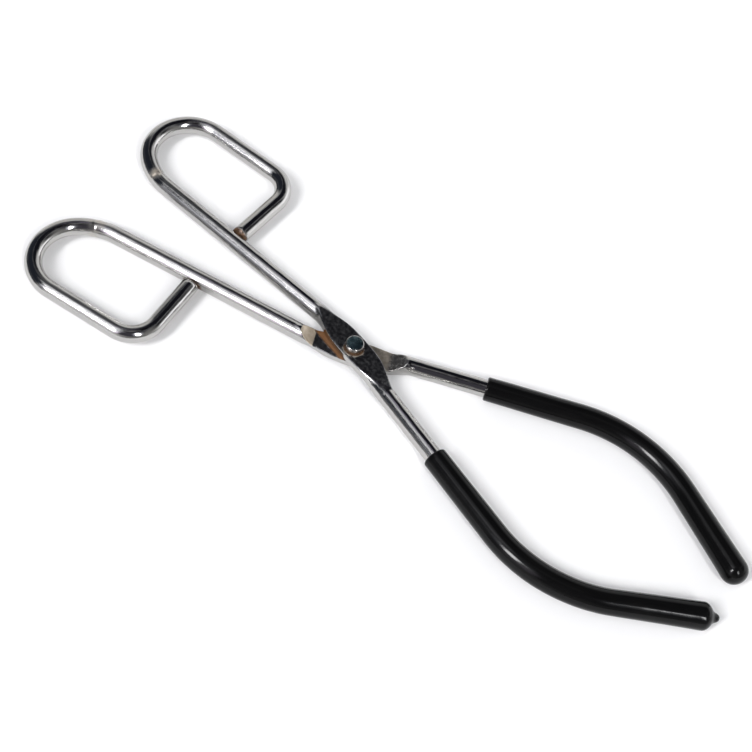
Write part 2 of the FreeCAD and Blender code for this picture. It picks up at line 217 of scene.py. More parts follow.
# The half-lap is a plate spread sideways round the rivet. Its pressed face is on the outside, and
# a cut to mid-depth, with a ramp at each end, takes the other arm.
LAP_TILT = math.radians(4.0)
LAP_END, LAP_SIDE = 18.5, 4.55
LAP_CORNER = (11.5, 4.0)
LAP_BOTTOM = -2.0
LAP_BULGE = LAP_SIDE - LAP_CORNER[1]
LAP_SIDE_RADIUS = (LAP_CORNER[0] ** 2 + LAP_BULGE ** 2) / (2 * LAP_BULGE)
LAP_FACE, LAP_FACE_HALF, LAP_RUNOUT = 2.75, 15.5, math.radians(7.0)
LAP_FLOOR, LAP_FLOOR_HALF, LAP_RAMP = 0.05, 13.5, math.radians(33.5)
LAP_REACH = 24.0  # past this distance from the rivet, the arm is a plain rod
# how much the lap's edges are rounded over
CORNER_SOFT, BOTTOM_SOFT, NECK_SOFT, RAMP_SOFT, RUNOUT_SOFT = 2.6, 0.4, 1.6, 0.7, 0.15
CUT_SOFT, FACE_SOFT = 0.38, 0.5
RING = 112  # points round the rod


def arm_field(x, y, z, rod):
    """Distance outside the arm near the lap, where rod is the distance outside the plain rod."""
    along = np.abs(x * math.cos(LAP_TILT) + y * math.sin(LAP_TILT))
    across = np.abs(y * math.cos(LAP_TILT) - x * math.sin(LAP_TILT))
    side = np.hypot(along, across + LAP_SIDE_RADIUS - LAP_SIDE) - LAP_SIDE_RADIUS
    run, rise = LAP_END - LAP_CORNER[0], LAP_CORNER[1]
    end = ((along - LAP_END) * rise + across * run) / math.hypot(run, rise)
    plate = smooth_max(smooth_max(side, end, CORNER_SOFT), LAP_BOTTOM - z, BOTTOM_SOFT)
    solid = smooth_min(rod, plate, NECK_SOFT)
    cut = smooth_max(
        z - LAP_FLOOR,
        (z - LAP_FLOOR) * math.cos(LAP_RAMP) + (np.abs(x) - LAP_FLOOR_HALF) * math.sin(LAP_RAMP),
        RAMP_SOFT)
    press = smooth_max(
        LAP_FACE - z,
        (LAP_FACE - z) * math.cos(LAP_RUNOUT) + (np.abs(x) - LAP_FACE_HALF) * math.sin(LAP_RUNOUT),
        RUNOUT_SOFT)
    return smooth_max(smooth_max(solid, -cut, CUT_SOFT), -press, FACE_SOFT)


def spread_evenly(v, z, count):
    """Points round each closed outline, shared between its length and its turning."""
    turn_share = 0.5
    dv, dz = np.diff(v, append=v[:, :1]), np.diff(z, append=z[:, :1])
    length = np.hypot(dv, dz)
    heading = np.arctan2(dz, dv)
    turn = np.abs((np.diff(heading, prepend=heading[:, -1:]) + math.pi) % (2 * math.pi) - math.pi)
    turn = (turn + np.roll(turn, -1, 1)) / turn.sum(1, keepdims=True)
    weight = length / length.sum(1, keepdims=True) + turn_share * turn
    total = np.concatenate([np.zeros((len(v), 1)), np.cumsum(weight, 1)], 1)
    total /= total[:, -1:]
    wanted = np.arange(count) / count
    v, z = (np.concatenate([a, a[:, :1]], 1) for a in (v, z))
    out = [[np.interp(wanted, total[k], a[k]) for k in range(len(v))] for a in (v, z)]
    return np.array(out[0]), np.array(out[1])


def lap_sections(s):
    """Outlines of the arm across its centreline at each station of the lap.

    Rays leave a point inside the arm, and each is halved down to where it crosses the surface.
    The point is in the plate's upper half at the rivet and on the rod's centreline past the lap.
    """
    ray_count, halvings, past_surface = 640, 34, 9.0
    x0, y0, h = arm_at(s)
    theta = np.linspace(0, 2 * math.pi, ray_count, endpoint=False)[None, :]
    middle = 1.0 - fade(np.abs(s), 9.0, 19.0)
    v_in = (0.5 * middle)[:, None]
    z_in = (1.4 * middle)[:, None]
    cos, sin = np.cos(theta), np.sin(theta)
    low, high = np.zeros((len(s), theta.size)), np.full((len(s), theta.size), past_surface)
    for _ in range(halvings):
        r = (low + high) / 2
        v, z = v_in + r * cos, z_in + r * sin
        x = x0[:, None] - np.sin(h)[:, None] * v
        y = y0[:, None] + np.cos(h)[:, None] * v
        out = arm_field(x, y, z, np.hypot(v, z) - ROD) > 0
        high, low = np.where(out, r, high), np.where(out, low, r)
    r = (low + high) / 2
    return spread_evenly(v_in + r * cos, z_in + r * sin, RING)


def rod_radius(s, theta, marks, seed):
    """The rod's radius: drawn wire, slightly uneven, and nipped by the bending dies."""
    under_size, unevenness, wavelength = 0.015, 0.012, 38.0
    radius = ROD - under_size + unevenness * ripple(seed, (s, wavelength), (theta, 2 * math.pi))
    for at, depth, width, facing in marks:
        around = 0.5 + 0.5 * np.cos(theta - facing)
        radius = radius - depth * np.exp(-(((s - at) / width) ** 2)) * around ** 1.5
    return np.minimum(radius, ROD)


# the crossbar's end is pinched flat by the shears and welded to the side of the shank
BAR_END, BAR_PINCH, BAR_THIN = 200.916, 2.2, 0.3


def bar_thickness(s):
    """The rod's height at s as a share of its width: less than 1 only at the sheared end."""
    left = np.clip((s + BAR_END) / BAR_PINCH, 0, 1)
    return BAR_THIN + (1 - BAR_THIN) * np.sqrt(1 - (1 - left) ** 2)


def make_arm(name, node, body, to_row, marks, seed, hole, material):
    """One rod from the jaw's end to the loop's end; marks are (distance, depth, width, side)."""
    straight_step, jaw_bend_step, bend_step, lap_step = 2.5, 0.8, 0.45, 0.2
    sharp_edge = math.radians(50)
    jaw = JAW_ROUTE.stations(LAP_REACH, JAW_ROUTE.length, straight_step, jaw_bend_step)
    handle = -HANDLE_ROUTE.stations(LAP_REACH, HANDLE_ROUTE.length, straight_step, bend_step)[::-1]
    near = [np.arange(at - 3 * width, at + 3 * width, width / 3) for at, _, width, _ in marks]
    end = BAR_PINCH * (1 - np.cos(np.linspace(0, math.pi / 2, 14))) - BAR_END
    handle = np.unique(np.round(np.concatenate([handle, end, *near]), 3))
    handle = handle[(handle >= -BAR_END - 1e-6) & (handle < -LAP_REACH)]
    lap = np.linspace(-LAP_REACH, LAP_REACH, int(2 * LAP_REACH / lap_step) + 1)
    theta = 2 * math.pi * np.arange(RING)[None, :] / RING

    rings = []
    for s in (handle, lap, jaw[1:]):
        if s is lap:
            v, z = lap_sections(s)
        else:
            radius = rod_radius(s[:, None], theta, marks, seed)
            v, z = radius * np.cos(theta), radius * np.sin(theta) * bar_thickness(s)[:, None]
        rings.append(rings_on(arm_at, s, v, z))
    along = np.concatenate([handle, lap, jaw[1:]])
    verts, faces, uvs = tube(np.concatenate(rings), along)
    arm = make_mesh(name, verts, faces, uvs, material, to_row)
    drill(arm, hole, to_row)
    arm.data.set_sharp_from_angle(angle=sharp_edge)
    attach(arm, body)
    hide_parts(node)
    return arm


def drill(obj, radius, to_row):
    """Cut the rivet's hole through the lap."""
    count, reach = 64, 6.0
    turn = 2 * math.pi * np.arange(count) / count
    ring = np.stack([radius * np.cos(turn), radius * np.sin(turn), np.zeros(count)], -1)
    rings = np.stack([ring + [0, 0, -reach], ring + [0, 0, reach]])
    verts, faces, uvs = tube(rings, np.array([0.0, 1.0]))
    tool = make_mesh(f"{obj.name}_drill", verts, faces, uvs, obj.data.materials[0], to_row)
    cut = obj.modifiers.new("hole", "BOOLEAN")
    cut.operation = "DIFFERENCE"
    cut.solver = "EXACT"
    cut.object = tool
    depsgraph = bpy.context.evaluated_depsgraph_get()
    cut_mesh = bpy.data.meshes.new_from_object(obj.evaluated_get(depsgraph))
    obj.modifiers.clear()
    old = obj.data
    obj.data = cut_mesh
    bpy.data.meshes.remove(old)
    spare = tool.data
    bpy.data.objects.remove(tool)
    bpy.data.meshes.remove(spare)


# ---------------------------------------------------------------- the coatings

START_RADIUS, BOW_RADIUS, TIP_RADIUS = 4.05, 4.2, 4.55
ROUND_COUNT = 96  # points round a coating or the rivet


def make_coating(name, node, body, to_row, start, closing, seed, material):
    """A sleeve on the jaw from start, closed past the rod's end by (distance, radius) points.

    The outside sags a little, and the lip wanders where the vinyl stopped.
    """
    rod_end, bow_start, bow_end = JAW_ROUTE.length, JAW[0][0], JAW_ROUTE.length - JAW[2][0]
    lip, clearance, closed_radius = 0.6, 0.01, 0.4
    sag, sag_wavelength, lip_wander, lip_reach = 0.045, 34.0, 0.22, 6.0
    bore_steps, body_steps = (3.0, 1.5), (1.6, 0.8)
    turn = np.linspace(0, math.pi / 2, 9)
    inner = ROD + clearance
    bore_s = JAW_ROUTE.stations(start, rod_end, *bore_steps)[::-1]
    bore = [(rod_end, closed_radius)] + [(s, inner) for s in bore_s]
    lip_s, lip_r = start + lip, START_RADIUS - lip
    rounded = [(lip_s - lip * math.cos(a), lip_r + lip * math.sin(a)) for a in turn]
    body_s = JAW_ROUTE.stations(lip_s, rod_end, *body_steps)[1:]
    places = (start, bow_start, bow_end, rod_end)
    radii = (START_RADIUS, BOW_RADIUS, BOW_RADIUS, TIP_RADIUS)
    sleeve = [(s, np.interp(s, places, radii)) for s in body_s]
    tip = [(rod_end + a, r) for a, r in closing]
    profile = np.array(bore + rounded + sleeve + tip)
    s, r = profile[:, 0], profile[:, 1]
    theta = 2 * math.pi * np.arange(ROUND_COUNT)[None, :] / ROUND_COUNT
    outside = fade(r, 3.4, 3.9)[:, None] * (1 - fade(s, rod_end - 4, rod_end + 2))[:, None]
    slack = sag * ripple(seed, (s[:, None], sag_wavelength), (theta, 2 * math.pi)) - sag
    near_lip = 1 - fade(s[:, None], start, start + lip_reach)
    wander = (lip_wander + lip_wander * ripple(seed + 1, (theta, math.pi))) * near_lip
    radius = r[:, None] + slack * outside
    where = s[:, None] + wander
    x, y, h = JAW_ROUTE.at(where)
    v, z = radius * np.cos(theta), radius * np.sin(theta)
    rings = np.stack([x - np.sin(h) * v, y + np.cos(h) * v, z], -1)
    verts, faces, uvs = tube(rings, s)
    coat = make_mesh(name, verts, faces, uvs, material, to_row)
    coat.data.set_sharp_from_angle(angle=math.radians(60))
    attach(coat, body)
    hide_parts(node)


def round_tip(length, radius, corner):
    """A blunt end: flat sides, a rounded shoulder and a flat face."""
    turn = np.linspace(0, math.pi / 2, 18)[1:]
    side, face = radius - corner, length - corner
    shoulder = [(face + corner * math.sin(a), side + corner * math.cos(a)) for a in turn]
    return [(face, radius)] + shoulder


# ---------------------------------------------------------------- the rivet

def make_rivet(name, node, body, material):
    """A turned (radius, height) profile, with its edges hammered slightly out of round."""
    head, shank, edge, chamfer = 3.15, 2.0, 0.5, 0.12
    lap_under, lap_top, top, dome = 1.9, 7.45, 9.75, 0.09
    out_of_round, tilt = 0.05, 0.035
    flat, rim = head - edge, top - dome
    turn = np.linspace(0, math.pi / 2, 10)
    under = [(0.02, 0.0), (1.3, 0.0), (flat, 0.0)]
    under += [(flat + edge * math.sin(a), edge - edge * math.cos(a)) for a in turn[1:]]
    middle = [(head, lap_under - chamfer), (head - chamfer, lap_under), (shank, lap_under)]
    middle += [(shank, lap_top), (head - 0.1, lap_top), (head, lap_top + chamfer)]
    upper = [(flat + edge * math.cos(a), rim - edge + edge * math.sin(a)) for a in turn]
    crown = [(r, rim + dome * (1 - (r / flat) ** 2)) for r in (2.2, 1.7, 1.1, 0.5, 0.02)]
    profile = np.array(under + middle + upper + crown)
    r, z = profile[:, 0], profile[:, 1]
    theta = 2 * math.pi * np.arange(ROUND_COUNT)[None, :] / ROUND_COUNT
    worked = fade(r, 2.3, 2.9)[:, None]
    radius = r[:, None] - worked * (out_of_round + out_of_round * ripple(11, (theta, math.pi)))
    on_top = fade(z, 8.6, 9.6)[:, None] * fade(r, 0.3, 2.0)[:, None]
    sag = on_top * (tilt + tilt * ripple(12, (theta, 2 * math.pi)))
    rings = np.stack([radius * np.cos(theta), radius * np.sin(theta), z[:, None] - sag], -1)
    along = np.cumsum(np.hypot(np.diff(r, prepend=r[0]), np.diff(z, prepend=z[0])))
    verts, faces, uvs = tube(rings, along)
    rivet = make_mesh(name, verts, faces, uvs, material, Matrix.Identity(4))
    rivet.data.set_sharp_from_angle(angle=math.radians(50))
    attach(rivet, body)
    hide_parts(node)
    return rivet


# ---------------------------------------------------------------- materials

# The masks are point attributes of each piece's mesh, made by the paint functions below. Bump
# distances are in metres, and noise scales are per metre, or per UV unit where it is stretched.

class Shader:
    """A material's node tree, built with short calls."""

    def __init__(self, name):
        self.material = bpy.data.materials.new(name)
        self.material.use_nodes = True
        self.tree = self.material.node_tree
        self.main = self.tree.nodes["Principled BSDF"]

    def node(self, kind, values=None, **settings):
        made = self.tree.nodes.new(kind)
        for key, value in settings.items():
            setattr(made, key, value)
        for key, value in (values or {}).items():
            self.put(made, key, value)
        return made

    def put(self, node, key, value):
        socket = node.inputs[key]
        if isinstance(value, bpy.types.NodeSocket):
            self.tree.links.new(value, socket)
        elif isinstance(value, tuple) and len(value) == 3 and socket.type == "RGBA":
            socket.default_value = (*value, 1.0)
        else:
            socket.default_value = value

    def math(self, operation, a, b=0.0, c=0.0):
        return self.node("ShaderNodeMath", {0: a, 1: b, 2: c}, operation=operation).outputs[0]

    def step(self, value, low, high, to_low=0.0, to_high=1.0):
        values = {"Value": value, "From Min": low, "From Max": high}
        values |= {"To Min": to_low, "To Max": to_high}
        made = self.node("ShaderNodeMapRange", values, interpolation_type="SMOOTHSTEP")
        return made.outputs["Result"]

    def mix(self, amount, a, b):
        made = self.node("ShaderNodeMix", {"Factor": amount}, data_type="RGBA")
        self.put(made, 6, a)
        self.put(made, 7, b)
        return made.outputs[2]

    def noise(self, where, scale, detail=3.0, roughness=0.5):
        made = self.node("ShaderNodeTexNoise", {"Vector": where, "Scale": scale, "Detail": detail,
                                                "Roughness": roughness})
        return made.outputs["Fac"]

    def stretched(self, where, scales):
        return self.node("ShaderNodeMapping", {"Vector": where, "Scale": scales}).outputs["Vector"]

    def bump(self, height, distance, below=None, strength=1.0):
        values = {"Height": height, "Distance": distance, "Strength": strength}
        if below is not None:
            values["Normal"] = below
        return self.node("ShaderNodeBump", values).outputs["Normal"]

    def mask(self, name):
        return self.node("ShaderNodeAttribute", attribute_name=name).outputs["Fac"]


def plated_rod():
    """Chrome plate with fine drawing lines, worn to grey on the lap and stained in places.

    lap is pressed bare metal, pale a darker, browner recess, stain tan staining that also paints
    the reflection of the rivet's rim, and scorch rusted and weld-heated metal that also paints
    shade round the rivet's head, and the upper arm's shade and reflection on the lower arm's cut.
    """
    sh = Shader("plated_rod")
    where = sh.node("ShaderNodeTexCoord").outputs["Object"]
    uv = sh.node("ShaderNodeTexCoord").outputs["UV"]
    lap, scorch, stain, pale = (sh.mask(name) for name in ("lap", "scorch", "stain", "pale"))
    blotch = sh.noise(where, 260.0, 4.0, 0.6)
    mottle = sh.noise(where, 900.0, 4.0, 0.65)
    fine = sh.noise(where, 1500.0, 3.0, 0.6)
    cloud = sh.noise(where, 60.0, 3.0)
    ripples = sh.noise(sh.stretched(uv, (160.0, 30.0, 1.0)), 1.0, 3.0, 0.55)
    lines = sh.noise(sh.stretched(uv, (22.0, 120.0, 1.0)), 1.0, 3.0, 0.6)

    clean = sh.mix(cloud, (0.48, 0.475, 0.47), (0.54, 0.53, 0.51))
    pressed = sh.mix(sh.step(mottle, 0.36, 0.66), (0.10, 0.10, 0.11), (0.30, 0.30, 0.30))
    recess = sh.mix(sh.step(blotch, 0.34, 0.64), (0.18, 0.16, 0.135), (0.35, 0.31, 0.26))
    colour = sh.mix(lap, clean, pressed)
    colour = sh.mix(pale, colour, recess)
    # the tan also paints the reflection of the rivet's rim, a crescent beside its head
    tan = sh.step(sh.math("ADD", stain, sh.math("MULTIPLY", blotch, 0.5)), 0.45, 1.05)
    film_and_reflection = sh.mix(sh.step(blotch, 0.35, 0.65), (0.36, 0.30, 0.23), (0.56, 0.48, 0.38))
    colour = sh.mix(tan, colour, film_and_reflection)
    # the brown also paints shade round the rivet's head, and the upper arm's shade and reflection
    # on the lower arm's cut
    burnt_and_shaded = sh.step(sh.math("ADD", scorch, sh.math("MULTIPLY", blotch, 0.7)), 0.5, 1.0)
    rust_and_shade = sh.mix(sh.step(mottle, 0.4, 0.6), (0.05, 0.028, 0.016), (0.11, 0.06, 0.032))
    rust_and_shade = sh.mix(sh.step(scorch, 0.8, 0.95), rust_and_shade, (0.19, 0.09, 0.038))
    colour = sh.mix(burnt_and_shaded, colour, rust_and_shade)
    sh.put(sh.main, "Base Color", colour)
    covered = sh.math("MAXIMUM", sh.math("MULTIPLY", burnt_and_shaded, 0.75), sh.math("MULTIPLY", tan, 0.45))
    covered = sh.math("MAXIMUM", covered, sh.math("MULTIPLY", pale, 0.35))
    covered = sh.math("MAXIMUM", covered, sh.math("MULTIPLY", lap, 0.05))
    sh.put(sh.main, "Metallic", sh.math("SUBTRACT", 1.0, covered))
    sh.put(sh.main, "Specular Tint", (0.8, 0.8, 0.8))

    rough = sh.step(blotch, 0.35, 0.75, 0.05, 0.09)
    rough = sh.math("ADD", rough, sh.math("MULTIPLY", lap, sh.step(mottle, 0.3, 0.7, 0.07, 0.18)))
    rough = sh.math("ADD", rough, sh.math("MULTIPLY", pale, 0.2))
    rough = sh.math("ADD", rough, sh.math("MULTIPLY", sh.math("MAXIMUM", tan, burnt_and_shaded), 0.22))
    sh.put(sh.main, "Roughness", rough)

    smooth = sh.math("SUBTRACT", 1.0, lap)
    normal = sh.bump(sh.math("MULTIPLY", ripples, smooth), 0.00005)
    normal = sh.bump(sh.math("MULTIPLY", lines, smooth), 0.000012, normal)
    uneven = sh.math("SUBTRACT", lap, sh.math("MULTIPLY", pale, 0.6))
    normal = sh.bump(sh.math("MULTIPLY", mottle, uneven), 0.000018, normal)
    normal = sh.bump(fine, 0.000003, normal)
    sh.put(sh.main, "Normal", normal)
    return sh.material


def rivet_steel():
    """Bare steel, with a teal reflection painted on the crown and brown shade painted on the head's
    side.
    """
    sh = Shader("rivet_steel")
    where = sh.node("ShaderNodeTexCoord").outputs["Object"]
    blotch = sh.noise(where, 420.0, 4.0, 0.6)
    fine = sh.noise(where, 2200.0, 3.0)
    bare = sh.mix(sh.step(blotch, 0.35, 0.7), (0.30, 0.29, 0.28), (0.44, 0.42, 0.40))
    # painted reflection: the crown's teal
    crown_reflection = sh.mix(sh.step(blotch, 0.35, 0.7), (0.20, 0.35, 0.39), (0.34, 0.49, 0.52))
    colour = sh.mix(sh.mask("crown"), bare, crown_reflection)
    # painted shade: brown over the head's side and below it
    grime = sh.step(sh.math("ADD", sh.mask("grime"), sh.math("MULTIPLY", blotch, 0.4)), 0.55, 1.0)
    colour = sh.mix(grime, colour, (0.20, 0.12, 0.07))
    sh.put(sh.main, "Base Color", colour)
    sh.put(sh.main, "Metallic", sh.math("SUBTRACT", 1.0, sh.math("MULTIPLY", grime, 0.6)))
    sh.put(sh.main, "Roughness", sh.step(blotch, 0.3, 0.8, 0.20, 0.36))
    sh.put(sh.main, "Normal", sh.bump(fine, 0.00001, sh.bump(blotch, 0.00005)))
    return sh.material


def dipped_vinyl():
    """Glossy black vinyl with a soft unevenness and smears of handling."""
    sh = Shader("vinyl")
    where = sh.node("ShaderNodeTexCoord").outputs["Object"]
    uv = sh.node("ShaderNodeTexCoord").outputs["UV"]
    soft = sh.noise(where, 95.0, 2.0)
    fine = sh.noise(where, 1700.0, 3.0)
    smear = sh.noise(sh.stretched(uv, (90.0, 14.0, 1.0)), 1.0, 3.0)
    sh.put(sh.main, "Base Color", sh.mix(smear, (0.002, 0.002, 0.0022), (0.005, 0.005, 0.005)))
    sh.put(sh.main, "Roughness", sh.step(smear, 0.3, 0.7, 0.09, 0.15))
    sh.put(sh.main, "IOR", 1.5)
    sh.put(sh.main, "Specular IOR Level", 0.18)
    sh.put(sh.main, "Normal", sh.bump(fine, 0.000004, sh.bump(soft, 0.0001)))
    return sh.material


# ---------------------------------------------------------------- build

UP = math.pi / 2  # the side of a rod that faces its arm's +Z
FACE_LOW, FACE_HIGH = 2.45, 2.7  # heights between which the lap's pressed face begins


def add_mask(obj, name, values):
    layer = obj.data.attributes.new(name, "FLOAT", "POINT")
    layer.data.foreach_set("value", np.clip(values, 0, 1).astype(np.float32))


def arm_points(obj, to_row):
    """The piece's vertices in an arm's own frame, in millimetres."""
    co = np.array([v.co for v in obj.data.vertices])
    back = np.array(to_row.inverted())
    return (co @ back[:3, :3].T + back[:3, 3]) / MM


def on_cut(p):
    """How far each point is on the lap's cut, its ramps included: 1 on it and 0 off it."""
    cut_depth = LAP_FLOOR - np.maximum(np.abs(p[:, 0]) - LAP_FLOOR_HALF, 0) * math.tan(LAP_RAMP)
    return 1 - fade(np.abs(p[:, 2] - cut_depth), 0.1, 0.4)


def weld_burn(p, reach, strength):
    """Weld heat on the crossbar's end: strongest against the shank and gone at reach from it."""
    shank_side, hottest, bar_side = (2.5, 2.9), 3.1, (3.0, 4.2)
    _, x, y, heading, _ = HANDLE_ROUTE.parts[SHANK_PART]
    end_x, end_y, _ = HANDLE_ROUTE.at(np.array([BAR_END]))
    along = (math.cos(heading), math.sin(heading))
    off = (p[:, 0] - x) * along[1] - (p[:, 1] - y) * along[0]
    beside = np.abs((p[:, 0] - end_x) * along[0] + (p[:, 1] - end_y) * along[1])
    return strength * band(off, shank_side, (hottest, reach)) * (1 - fade(beside, *bar_side))


def paint_arm(obj, to_row, stains, burn):
    """Masks for the pressed lap, for (x, y, reach, strength) stains and for the weld's heat colour.
    """
    core = 0.25
    p = arm_points(obj, to_row)
    x, z = p[:, 0], p[:, 2]
    near = 1 - fade(np.abs(x), 16.5, 20.0)
    face = fade(z, FACE_LOW, FACE_HIGH)
    floor = on_cut(p) * (1 - fade(np.abs(x), 16.8, 17.8))
    add_mask(obj, "lap", np.maximum(near * face, floor))
    total = np.zeros(len(p))
    for cx, cy, reach, strength in stains:
        gap = np.hypot(p[:, 0] - cx, p[:, 1] - cy)
        total = np.maximum(total, strength * (1 - fade(gap, core * reach, reach)))
    add_mask(obj, "stain", total)
    add_mask(obj, "scorch", weld_burn(p, *burn))


def raise_mask(obj, name, values):
    """Make a mask at least as strong as these values."""
    layer = obj.data.attributes[name]
    old = np.zeros(len(values), np.float32)
    layer.data.foreach_get("value", old)
    layer.data.foreach_set("value", np.clip(np.maximum(old, values), 0, 1).astype(np.float32))


def paint_upper_lap(obj, to_row):
    """Painted shade in brown round the rivet's head, strongest on the side towards the camera, and
    outside it a lighter crescent, a painted reflection of the head's rim.
    """
    # the camera's side of the rivet, in the upper arm's frame
    towards = (0.68, -0.735)
    p = arm_points(obj, to_row)
    gap = np.hypot(p[:, 0], p[:, 1])
    side = (p[:, 0] * towards[0] + p[:, 1] * towards[1]) / np.maximum(gap, 0.1)
    facing = fade(side, -0.2, 0.6)
    on_face = fade(p[:, 2], FACE_LOW, FACE_HIGH)
    # painted shade: the head's contact shadow in brown, all round and strongest towards the camera
    raise_mask(obj, "scorch", on_face * (1 - fade(gap, 3.4, 3.9)) * (0.3 + 0.5 * facing))
    # painted reflection of the head's rim: a lighter tan crescent outside the shade, towards the
    # camera
    painted_rim_reflection = band(gap, (3.3, 3.7), (3.8, 4.7))
    raise_mask(obj, "stain", on_face * painted_rim_reflection * 0.6 * facing)
    add_mask(obj, "pale", np.zeros(len(p)))


def paint_lower_lap(obj, to_row, to_other):
    """Rusted brown in a band beside the upper arm's edge, with that arm's shade and reflection
    painted in, a stained ramp towards the handle and a darker, browner recess.
    """
    p = arm_points(obj, to_row)
    other = arm_points(obj, to_other)
    x, z = p[:, 0], p[:, 2]
    floor = on_cut(p)
    across = other[:, 1] * math.cos(LAP_TILT) - other[:, 0] * math.sin(LAP_TILT)
    handle_side, jaw_side = fade(-x, 0.0, 3.0), fade(x, 0.0, 3.0)
    # partly rusted, partly painted shade and reflection of the upper arm, in a band beside its edge
    beside_upper_arm = (1 - fade(np.abs(across), 5.2, 6.3)) * handle_side
    raise_mask(obj, "scorch", floor * beside_upper_arm * 0.95)
    ramp = band(-x, (12.9, 14.0), (18.2, 19.2)) * fade(-z, -0.6, 0.0)
    raise_mask(obj, "stain", floor * ramp)
    # darker, browner colour over the cut on the jaw side, weaker towards the ramp
    add_mask(obj, "pale", floor * jaw_side * (1 - 0.75 * fade(x, 11.5, 13.5)))


spread = Matrix.Rotation(math.radians(-HALF_SPREAD), 4, "Z")
to_upper = Matrix.Translation(PIVOT) @ spread
to_lower = Matrix.Translation(PIVOT) @ Matrix.Rotation(math.pi, 4, "X") @ spread
steel, vinyl = plated_rod(), dipped_vinyl()
upper_marks = ((-95.4, 0.13, 0.6, UP), (-185.2, 0.10, 0.6, -UP))
lower_marks = ((-98.0, 0.10, 0.6, -UP), (-186.8, 0.12, 0.6, UP))
shank, clearance = 2.0, 0.05
upper_arm = make_arm(
    "upper_rod", "upper_arm", "upper_half", to_upper, upper_marks, 3, shank, steel)
lower_arm = make_arm(
    "lower_rod", "lower_arm", "lower_half", to_lower, lower_marks, 4, shank + clearance, steel)
upper_stains = [(-94.2, -18.4, 4.5, 0.5), (-92.0, -14.5, 3.5, 0.35)]
lower_stains = [(-95.8, -18.0, 6.5, 0.4)]
upper_burn, lower_burn = (5.2, 0.78), (4.4, 0.7)
paint_arm(upper_arm, to_upper, upper_stains, upper_burn)
paint_arm(lower_arm, to_lower, lower_stains, lower_burn)
paint_upper_lap(upper_arm, to_upper)
paint_lower_lap(lower_arm, to_lower, to_upper)

# the upper coating ends in the drop that hardened as it drained, the lower one in a round tip
drop = [(0.6, 4.5), (1.1, 4.3), (1.7, 3.95), (2.2, 3.5), (2.7, 2.9), (3.1, 2.35), (3.5, 1.95)]
drop += [(3.9, 1.65), (4.4, 1.45), (4.8, 1.25), (5.15, 0.95), (5.4, 0.55), (5.52, 0.2)]
drop += [(5.55, 0.02)]
plain = round_tip(5.6, TIP_RADIUS, 4.4)
make_coating("upper_vinyl", "upper_coating", "upper_half", to_upper, 45.8, drop, 21, vinyl)
make_coating("lower_vinyl", "lower_coating", "lower_half", to_lower, 45.0, plain, 31, vinyl)

rivet = make_rivet("rivet", "pivot_rivet", "upper_half", rivet_steel())
x, y, z = np.array([v.co for v in rivet.data.vertices]).T / MM
# painted shade on the head's side; the next mask paints the teal reflection on the crown
add_mask(rivet, "grime", 1 - fade(z, 8.5, 9.2))
add_mask(rivet, "crown", fade(z, 9.2, 9.5) * (1 - fade(np.hypot(x, y), 2.5, 2.85)))


# ---------------------------------------------------------------- stage, light and camera

def make_floor():
    """A pale sheet that the tongs lie on, wide enough to fill the view from any side."""
    reach, rings, spokes = 12.0, 7, 48
    radii = reach * (np.arange(1, rings + 1) / rings) ** 3
    turn = 2 * math.pi * np.arange(spokes) / spokes
    verts = [(0.0, 0.0, 0.0)]
    verts += [(r * math.cos(a), r * math.sin(a), 0.0) for r in radii for a in turn]
    faces = [(0, 1 + k, 1 + (k + 1) % spokes) for k in range(spokes)]
    for i in range(rings - 1):
        for k in range(spokes):
            a, b = 1 + i * spokes + k, 1 + i * spokes + (k + 1) % spokes
            faces.append((a, a + spokes, b + spokes, b))
    mesh = bpy.data.meshes.new("floor")
    mesh.from_pydata(verts, [], faces)
    sh = Shader("pale_floor")
    where = sh.node("ShaderNodeTexCoord").outputs["Object"]
    grain = sh.noise(where, 30.0, 4.0)
    sh.put(sh.main, "Base Color", sh.mix(grain, (0.90, 0.90, 0.90), (0.93, 0.93, 0.93)))
    sh.put(sh.main, "Roughness", 0.9)
    sh.put(sh.main, "Specular IOR Level", 0.1)
    mesh.materials.append(sh.material)
    floor = bpy.data.objects.new("floor", mesh)
    bpy.context.scene.collection.objects.link(floor)
    floor.location.z = cad_box[0].z


def card(sh, towards, azimuth, elevation, width, height, soft, colour, strength, below):
    """Add a soft-edged rectangle of light, seen in one direction, to the surroundings."""
    a, e = math.radians(azimuth), math.radians(elevation)
    aim = Vector((math.sin(a) * math.cos(e), math.cos(a) * math.cos(e), math.sin(e)))
    across = Vector((math.cos(a), -math.sin(a), 0.0))
    upward = aim.cross(across) * -1.0
    parts = []
    for axis in (aim, across, upward):
        dot = sh.node("ShaderNodeVectorMath", {0: towards, 1: tuple(axis)}, operation="DOT_PRODUCT")
        parts.append(dot.outputs["Value"])
    depth = sh.math("MAXIMUM", parts[0], 0.02)
    inside = []
    for part, size in zip(parts[1:], (width, height)):
        edge = math.tan(math.radians(size / 2))
        ratio = sh.math("ABSOLUTE", sh.math("DIVIDE", part, depth))
        inside.append(sh.step(ratio, edge * (1 - soft), edge * (1 + soft), 1.0, 0.0))
    amount = sh.math("MULTIPLY", inside[0], inside[1])
    amount = sh.math("MULTIPLY", amount, sh.step(parts[0], 0.02, 0.1))
    return sh.mix(amount, below, tuple(c * strength for c in colour))


class Sky(Shader):
    """The same short calls for the world's node tree."""

    def __init__(self):
        world = bpy.data.worlds.new("studio")
        bpy.context.scene.world = world
        world.use_nodes = True
        self.tree = world.node_tree
        self.main = self.tree.nodes["Background"]


